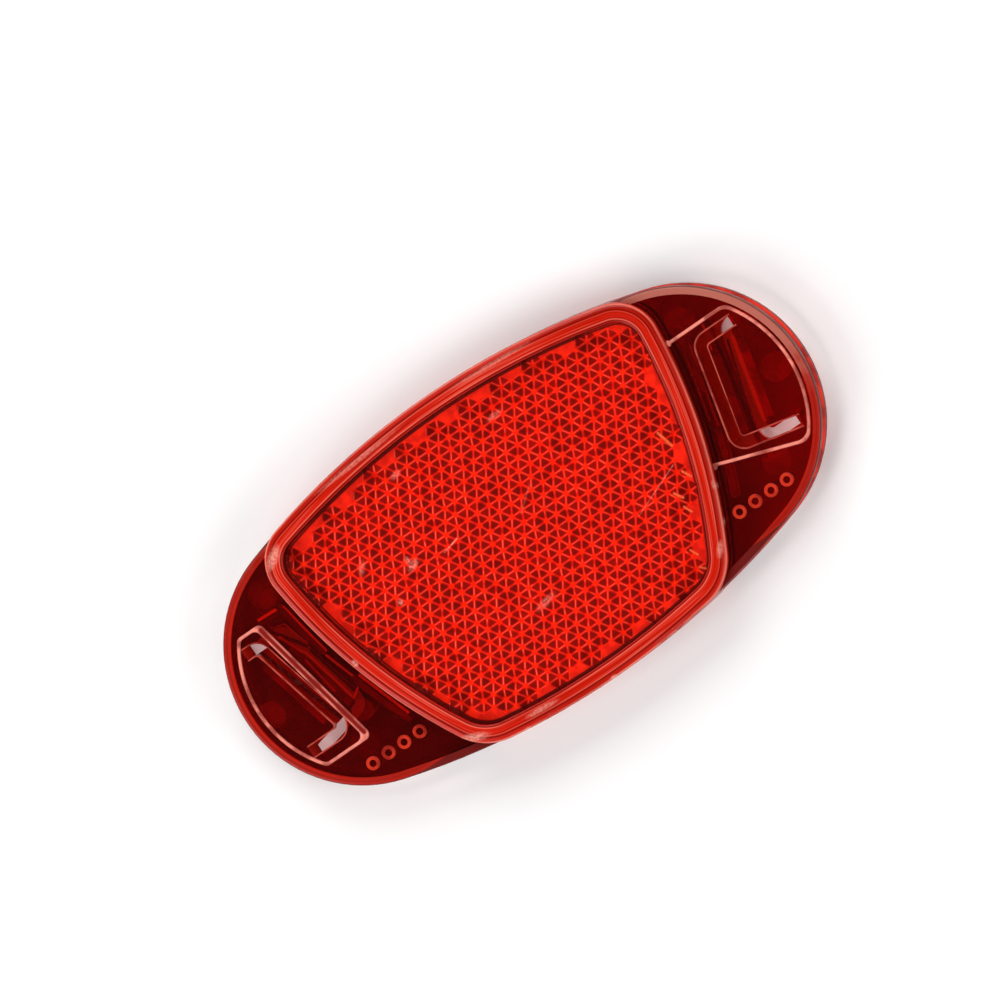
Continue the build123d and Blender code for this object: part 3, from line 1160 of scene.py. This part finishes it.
@dataclass(frozen=True)
class WingFinish(Finish):
    """The clear dark red of the wings, with painted light that makes the right one lighter, and faint
    moulding waves.
    """

    left: Colour = Colour(0.36, 0.006, 0.002)
    right: Colour = Colour(0.52, 0.012, 0.004)
    body: Colour = Colour(0.15, 0.0012, 0.0004)
    # Colours of the painted light lines and the painted shade lines
    line: Colour = Colour(1.0, 0.08, 0.025)
    shade: Colour = Colour(0.02, 0.0008, 0.0002)
    middle_reach: float = 34.0
    levels: Levels = Levels()

    def surface(self, tree: ShaderTree) -> bpy.types.NodeSocket:
        """Clear plastic, opaque on its inner face where the painted light lines and painted shade lines
        lie.

        Args:
            tree: The material's tree.

        Returns:
            The shader.
        """
        x, y, z = tree.place()
        # Painted light: the tint grows lighter towards the right wing, where more light falls
        across = (-x if tree.turned else x).ramp(-self.middle_reach, self.middle_reach)
        cloud = tree.noise(tree.point(x, y, z), scale=0.18, detail=3.0)
        rub = tree.noise(tree.point(x, y * 0.4, z), scale=2.2, detail=3.0)
        tint = tree.blend((across + cloud * 0.5 - 0.25).least(1.0).most(0.0), self.left, self.right)
        clear = tree.clear(tint, rub.ramp(0.45, 0.8) * 0.06 + 0.02)
        # Painted light lines and painted shade lines, on the inner face only
        inner = (z - self.levels.wing_inner).ramp(0.2, 0.1)
        red = (BACK_LIGHT_LINES if tree.turned else FRONT_LIGHT_LINES).mask(tree, x, y, broken=0.12) * inner
        dark = (BACK_SHADE_LINES if tree.turned else FRONT_SHADE_LINES).mask(tree, x, y, broken=0.0) * inner
        colour = tree.blend(red, tree.blend(dark, self.body, self.shade), self.line)
        solid = tree.solid(colour, rub.ramp(0.4, 0.75) * 0.2 + 0.2, gloss=0.25)
        haze = cloud.ramp(0.35, 0.65) * 0.06 + 0.02
        return tree.shader_mix(haze.most(red).most(dark), clear, solid)


@dataclass(frozen=True)
class LineFinish(Finish):
    """A narrow face that catches the light: clear plastic with a solid share, whose colour is painted light
    and shade.
    """

    front: Colour
    back: Colour
    share: float
    tint: Colour = Colour(0.5, 0.02, 0.01)
    shade: Colour = Colour(0.22, 0.003, 0.001)
    dark_run: Stroke = Stroke((-36.25, 9.4), (-32.45, -9.6), 0.46, 1.0)
    bead_foot: float = 7.2
    bead_top: float = 7.5

    def surface(self, tree: ShaderTree) -> bpy.types.NodeSocket:
        """The face's solid share in its painted colour, with painted shade on the flanks of a bead, and
        darker along a straight run.

        Args:
            tree: The material's tree.

        Returns:
            The shader.
        """
        x, y, z = tree.place()
        rub = tree.noise(tree.point(x, y, z), scale=0.45, detail=3.0)
        height = z - self.bead_foot
        # Painted shade on the flanks of a bead, below its top
        flank = height.ramp(0.0, 0.05) * (z - self.bead_top).ramp(-0.04, -0.14)
        fade = rub.ramp(0.34, 0.58) * (1.0 - flank * 0.75)
        colour = tree.blend(fade * 0.75 + 0.25, self.shade, self.back if tree.turned else self.front)
        colour = tree.blend(self.dark_run.mask(x, y) * height.ramp(0.0, 0.1), colour, self.shade)
        clear = tree.clear(self.tint, roughness=0.1)
        return tree.shader_mix(self.share, clear, tree.solid(colour, roughness=0.35, gloss=0.25))


@dataclass(frozen=True)
class RimFinish(Finish):
    """The wings' raised rim: a dull pinkish band at the upper right, a painted highlight where the light
    falls, and red everywhere else.
    """

    tint: Colour = Colour(0.5, 0.01, 0.004)
    pink: Colour = Colour(0.6, 0.18, 0.13)
    red: Colour = Colour(0.5, 0.012, 0.003)
    groove: Colour = Colour(0.07, 0.002, 0.001)
    line: ProfileLine = ProfileLine(inset=0.62, reach=0.16, strength=0.7)
    oval: Oval = Oval()

    def surface(self, tree: ShaderTree) -> bpy.types.NodeSocket:
        """Mostly opaque plastic with a dark outer edge of painted shade and a dark line in its red stretch.

        Args:
            tree: The material's tree.

        Returns:
            The shader.
        """
        x, y, z = tree.place()
        inset = self.oval.inset(x, y)
        rub = tree.noise(tree.point(x, y, z), scale=0.3, detail=3.0)
        # Painted highlight: pinker towards the upper right, where the light falls
        rim_highlight = (y * 0.07 + x * 0.02 + rub - 0.9).ramp(0.0, 0.7)
        colour = tree.blend(rim_highlight, self.red, self.pink)
        # Painted shade at the outer edge, and a dark line in the red stretch
        dark = inset.ramp(0.24, 0.08).most(self.line.mask(inset) * (1.0 - rim_highlight))
        colour = tree.blend(dark * 0.85, colour, self.groove)
        clear = tree.clear(self.tint, roughness=0.15)
        solid = tree.solid(colour, rub.ramp(0.3, 0.7) * 0.2 + 0.35, gloss=0.15)
        return tree.shader_mix(dark * 0.3 + 0.64, clear, solid)


class Zone(Enum):
    """Parts of a shell's surface, in the order of its material slots."""

    WINDOW = 0
    MARGIN = 1
    BEZEL = 2
    WING = 3
    RIM = 4
    BEAD = 5
    RING = 6
    EDGE = 7
    WALL = 8
    MARK = 9
    RIB = 10


# Solid shares of the narrow zones, painted for how the light catches them: pale pink front beads and edges
# as painted highlights, darker front walls as painted shade, and bright back walls and ribs as painted
# light seen through the front wing
LINES = {
    Zone.BEAD: LineFinish(front=Colour(0.95, 0.28, 0.21), back=Colour(0.95, 0.06, 0.015), share=0.88),
    Zone.RING: LineFinish(front=Colour(0.72, 0.035, 0.01), back=Colour(0.72, 0.035, 0.01), share=0.75),
    Zone.EDGE: LineFinish(front=Colour(0.62, 0.09, 0.06), back=Colour(0.9, 0.05, 0.015), share=0.85),
    Zone.WALL: LineFinish(
        front=Colour(0.3, 0.004, 0.001),
        back=Colour(0.9, 0.03, 0.006),
        share=0.7,
        tint=Colour(0.4, 0.01, 0.004),
    ),
    Zone.MARK: LineFinish(
        front=Colour(0.45, 0.006, 0.001),
        back=Colour(0.5, 0.01, 0.002),
        share=0.22,
        tint=Colour(0.4, 0.008, 0.003),
    ),
    Zone.RIB: LineFinish(
        front=Colour(0.5, 0.008, 0.001),
        back=Colour(0.8, 0.03, 0.006),
        share=0.45,
        tint=Colour(0.4, 0.01, 0.004),
    ),
}


@dataclass(frozen=True)
class Shell:
    """One half of the reflector: its moulding and the prisms behind its window."""

    node: str
    slot: str
    turned: bool
    seed: int
    outline: WindowOutline = WindowOutline()
    oval: Oval = Oval()
    levels: Levels = Levels()
    smooth_angle: float = 32.0
    weld: float = 0.0002
    ring_level: float = -12.2
    edge_width: float = 0.3
    level_above: float = 0.9
    upright_below: float = 0.3
    below_wing: float = 1.0
    past_outline: float = 0.06

    def facing(self) -> Matrix:
        """How the shell lies compared with the front one.

        Returns:
            A half turn about Y for the back shell, in metres, and no turn for the front one.
        """
        if not self.turned:
            return Matrix.Identity(4)
        return Matrix.Translation((0.0, 0.0, THICKNESS * MM)) @ Matrix.Rotation(math.pi, 4, "Y")

    def zone(self, centre: Vector, normal: Vector) -> Union[Zone, None]:
        """Which part of the surface a face belongs to.

        Args:
            centre: Middle of the face, in millimetres, turned to the front.
            normal: Its normal, turned to the front.

        Returns:
            The zone, or None for a prism face, which the pin field stands for.
        """
        levels = self.levels
        inset = self.outline.inset(centre.x, centre.y)
        if inset > levels.chamber_wall - levels.near and centre.z < levels.wing_outer + 2 * levels.near:
            flat = centre.z > levels.wing_outer + levels.slack
            wall = inset < levels.chamber_wall + levels.near
            joint = centre.z < levels.joint + levels.slack
            return Zone.MARGIN if flat or wall or joint else None
        if inset > levels.bezel_width - levels.near and centre.z < levels.window + levels.slack:
            return Zone.WINDOW
        in_wing = levels.wing_inner - self.below_wing < centre.z < levels.wing_outer + levels.slack
        if inset > -self.past_outline and not (in_wing and abs(normal.z) > self.level_above):
            return Zone.BEZEL
        return self.wing_zone(centre, abs(normal.z))

    def wing_zone(self, centre: Vector, level: float) -> Zone:
        """Which part of a wing a face belongs to.

        Args:
            centre: Middle of the face, in millimetres, turned to the front.
            level: 1 for a level face, 0 for an upright one.

        Returns:
            The zone.
        """
        levels = self.levels
        from_edge = self.oval.inset(centre.x, centre.y)
        if centre.z > levels.wing_outer + levels.slack:
            if from_edge < self.oval.rim_width + levels.near / 2:
                return Zone.RIM
            return Zone.RING if centre.y < self.ring_level else Zone.BEAD
        if level < self.upright_below:
            return Zone.RIM if from_edge < self.edge_width else Zone.WALL
        if centre.z < levels.wing_inner - levels.near / 2:
            return Zone.RIB
        if level < self.level_above:
            return Zone.EDGE if centre.z > levels.wing_outer - levels.flare else Zone.WALL
        sunk = levels.wing_inner + levels.near / 2 < centre.z < levels.wing_outer - levels.near / 2
        return Zone.MARK if sunk else Zone.WING

    def moulding(self, finishes: list[bpy.types.Material]) -> bpy.types.Object:
        """Copies the CAD node without its prisms, merges it and gives each zone its finish.

        Args:
            finishes: The materials, in the order of the zones.

        Returns:
            The piece.
        """
        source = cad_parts[self.node].data
        facing = self.facing()
        faces = []
        zones = []
        for polygon in source.polygons:
            centre = facing @ polygon.center / MM
            found = self.zone(centre, facing.to_3x3() @ polygon.normal)
            if found is not None:
                faces.append(tuple(polygon.vertices))
                zones.append(found.value)
        mesh = bpy.data.meshes.new(f"{self.node}_moulding")
        mesh.from_pydata([v.co for v in source.vertices], [], faces)
        for finish in finishes:
            mesh.materials.append(finish)
        mesh.polygons.foreach_set("material_index", zones)
        merged = bmesh.new()
        merged.from_mesh(mesh)
        bmesh.ops.remove_doubles(merged, verts=merged.verts, dist=self.weld * MM)
        loose = [v for v in merged.verts if not v.link_faces]
        bmesh.ops.delete(merged, geom=loose, context="VERTS")
        merged.to_mesh(mesh)
        merged.free()
        mesh.shade_smooth()
        mesh.set_sharp_from_angle(angle=math.radians(self.smooth_angle))
        return placed(mesh.name, mesh)

    def build(self) -> list[bpy.types.Object]:
        """Makes the shell's pieces and puts them in the frame.

        Returns:
            The moulding and the prisms.
        """
        makers = {
            Zone.WINDOW: WindowFinish(),
            Zone.MARGIN: MarginFinish(),
            Zone.BEZEL: BezelFinish(),
            Zone.WING: WingFinish(),
            Zone.RIM: RimFinish(),
            **LINES,
        }
        finishes = [makers[zone].material(f"{self.node}_{zone.name.lower()}", self.turned) for zone in Zone]
        moulding = self.moulding(finishes)
        lit = PrismFinish().material(f"{self.node}_prism", self.turned)
        prisms = PinField().build(f"{self.node}_prisms", self.seed, lit)
        prisms.data.transform(self.facing())
        pieces = [moulding, prisms]
        for piece in pieces:
            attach(piece, "root")
            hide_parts(self.node)
        return pieces


@dataclass(frozen=True)
class PhotoCamera:
    """The photograph's viewpoint: above the reflector, a little towards its right end."""

    lean_x: float = 0.1951
    lean_y: float = -0.0138
    roll: float = 34.98
    distance: float = 1579.3
    aim: tuple[float, float, float] = (0.40, 5.49, 6.7)
    focal_pixels: float = 11904.8
    picture_pixels: float = 1001.0
    sensor: float = 36.0

    def build(self) -> bpy.types.Object:
        """Makes the camera and chooses it.

        Returns:
            The camera.
        """
        data = bpy.data.cameras.new("photo_camera")
        data.sensor_width = self.sensor
        data.lens = self.focal_pixels / self.picture_pixels * self.sensor
        data.clip_start = 0.05
        data.clip_end = 50.0
        camera = placed("photo_camera", data)
        back = Vector((self.lean_x, self.lean_y, 1.0)).normalized()
        roll = math.radians(self.roll)
        up = Vector((math.sin(roll), math.cos(roll), 0.0))
        up = (up - back * up.dot(back)).normalized()
        right = up.cross(back)
        turn = Matrix((right, up, back)).transposed().to_4x4()
        place = (Vector(self.aim) + back * self.distance) * MM
        camera.matrix_world = Matrix.Translation(place) @ turn
        bpy.context.scene.camera = camera
        return camera


@dataclass(frozen=True)
class Lamp:
    """One soft square lamp that points at the reflector, its sizes in metres."""

    name: str
    azimuth: float
    elevation: float
    distance: float
    size: float
    watts: float

    def build(self) -> bpy.types.Object:
        """Makes the lamp.

        Returns:
            The lamp.
        """
        data = bpy.data.lights.new(self.name, "AREA")
        data.shape = "SQUARE"
        data.size = self.size
        data.energy = self.watts
        lamp = placed(self.name, data)
        around = math.radians(self.azimuth)
        up = math.radians(self.elevation)
        away = Vector((math.cos(around) * math.cos(up), math.sin(around) * math.cos(up), math.sin(up)))
        lamp.location = away * self.distance
        lamp.rotation_euler = away.to_track_quat("Z", "Y").to_euler()
        return lamp


@dataclass(frozen=True)
class Studio:
    """Pale floor, soft lamps and a plain surrounding."""

    floor_reach: float = 8.0
    floor_gap: float = 0.00005
    floor_colour: Colour = Colour(0.92, 0.92, 0.92)
    sky_low: float = 0.85
    sky_high: float = 0.05
    sky_turn: tuple[float, float] = (0.25, 0.75)
    lamps: tuple[Lamp, ...] = (
        Lamp("key_lamp", azimuth=190.0, elevation=42.0, distance=1.6, size=1.0, watts=17.5),
        Lamp("fill_lamp", azimuth=75.0, elevation=42.0, distance=1.6, size=1.0, watts=14.5),
        Lamp("side_lamp", azimuth=-40.0, elevation=38.0, distance=1.6, size=0.9, watts=9.5),
    )

    def build(self) -> None:
        """Makes the floor, the world and the lamps, and sets the view transform."""
        self.floor()
        self.sky()
        for lamp in self.lamps:
            lamp.build()
        bpy.context.scene.view_settings.view_transform = "Standard"

    def floor(self) -> bpy.types.Object:
        """Makes the floor just under the reflector.

        Returns:
            The floor.
        """
        mesh = bpy.data.meshes.new("floor")
        reach = self.floor_reach
        corners = [(-reach, -reach), (reach, -reach), (reach, reach), (-reach, reach)]
        mesh.from_pydata([(x, y, -self.floor_gap) for x, y in corners], [], [(0, 1, 2, 3)])
        floor = placed("floor", mesh)
        made = bpy.data.materials.new("floor_paint")
        tree = ShaderTree(made)
        tree.finish(tree.solid(self.floor_colour, roughness=0.9, gloss=0.5))
        mesh.materials.append(made)
        return floor

    def sky(self) -> None:
        """Pale at the horizon and dim overhead."""
        world = bpy.data.worlds.new("studio_world")
        bpy.context.scene.world = world
        tree = ShaderTree(world)
        coordinates = tree.result("ShaderNodeTexCoord", {}, {}, "Generated")
        height = tree.value("ShaderNodeSeparateXYZ", {}, {0: coordinates}, 2).ramp(*self.sky_turn)
        level = self.sky_low + height * (self.sky_high - self.sky_low)
        light = tree.node("ShaderNodeBackground", {}, {"Color": (1, 1, 1, 1), "Strength": level})
        tree.node("ShaderNodeOutputWorld", {}, {"Surface": light.outputs[0]})


def main() -> None:
    """Builds the camera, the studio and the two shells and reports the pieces."""
    PhotoCamera().build()
    Studio().build()
    for shell in (
        Shell(node="front_shell", slot="front_plastic", turned=False, seed=3),
        Shell(node="back_shell", slot="back_plastic", turned=True, seed=8),
    ):
        for piece in shell.build():
            LOG.info("built %s with %d faces", piece.name, len(piece.data.polygons))


if __name__ == "__main__":
    logging.basicConfig(level=logging.INFO)
    main()
